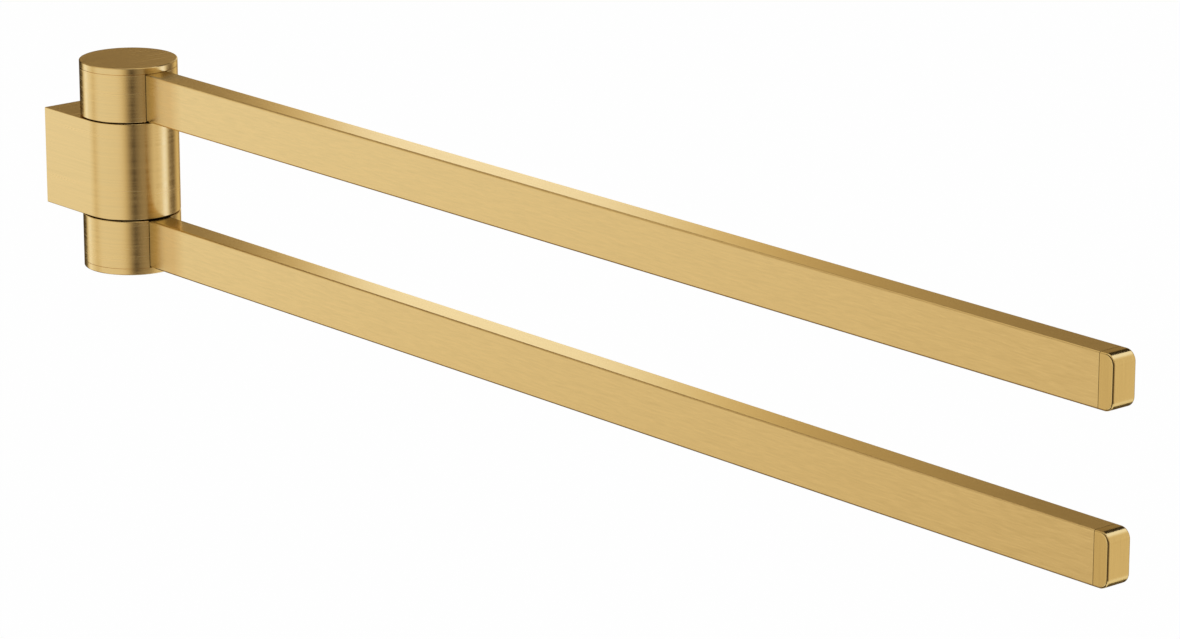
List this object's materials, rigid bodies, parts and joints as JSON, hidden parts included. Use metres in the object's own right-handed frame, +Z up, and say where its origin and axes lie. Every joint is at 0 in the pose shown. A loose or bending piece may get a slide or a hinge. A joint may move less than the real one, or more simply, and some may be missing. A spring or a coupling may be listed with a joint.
{
  "type": "swivel towel bar",
  "caption": "Wall-mounted towel bar: flat brushed gold bars, one above the other, swivel on hubs stacked on a round-nosed wall block.",
  "frame": {"origin": "centre of the holder block's face against the wall", "axes": "+Z up, +Y into the wall, so the bars stand out of the wall along -Y at rest"},
  "size_m": [0.03, 0.44, 0.0646],
  "materials": {
    "brushed_gold": "brushed gold, fine lines round the hubs and block and along the bars",
    "bracket_metal": "plain zinc-grey metal, satin",
    "steel": "turned stainless steel",
    "bearing_plastic": "black acetal, matte",
    "rubber": "black rubber, matte"
  },
  "bodies": {
    "wall_holder": {"wall_bracket": "bracket_metal", "holder_block": "brushed_gold", "block_set_screw": "steel", "pivot_axle": "steel", "axle_lock_screw": "steel", "upper_thrust_washer": "bearing_plastic", "upper_disc_spring": "steel", "upper_retaining_washer": "steel", "upper_retaining_screw": "steel", "lower_thrust_washer": "bearing_plastic", "lower_disc_spring": "steel", "lower_retaining_washer": "steel", "lower_retaining_screw": "steel"},
    "upper_arm": {"upper_hub": "brushed_gold", "upper_bush": "bearing_plastic", "upper_hub_cap": "brushed_gold", "upper_cap_o_ring": "rubber", "upper_bar": "brushed_gold", "upper_bar_tenon": "steel", "upper_dowel_pin": "steel", "upper_end_cap": "brushed_gold"},
    "lower_arm": {"lower_hub": "brushed_gold", "lower_bush": "bearing_plastic", "lower_hub_cap": "brushed_gold", "lower_cap_o_ring": "rubber", "lower_bar": "brushed_gold", "lower_bar_tenon": "steel", "lower_dowel_pin": "steel", "lower_end_cap": "brushed_gold"}
  },
  "joints": [
    {"name": "upper_swivel", "type": "hinge", "parent": "wall_holder", "child": "upper_arm", "pos_m": [0, -0.0237, 0], "axis": [0, 0, 1], "range_deg": [-90, 90]},
    {"name": "lower_swivel", "type": "hinge", "parent": "wall_holder", "child": "lower_arm", "pos_m": [0, -0.0237, 0], "axis": [0, 0, 1], "range_deg": [-90, 90]}
  ]
}
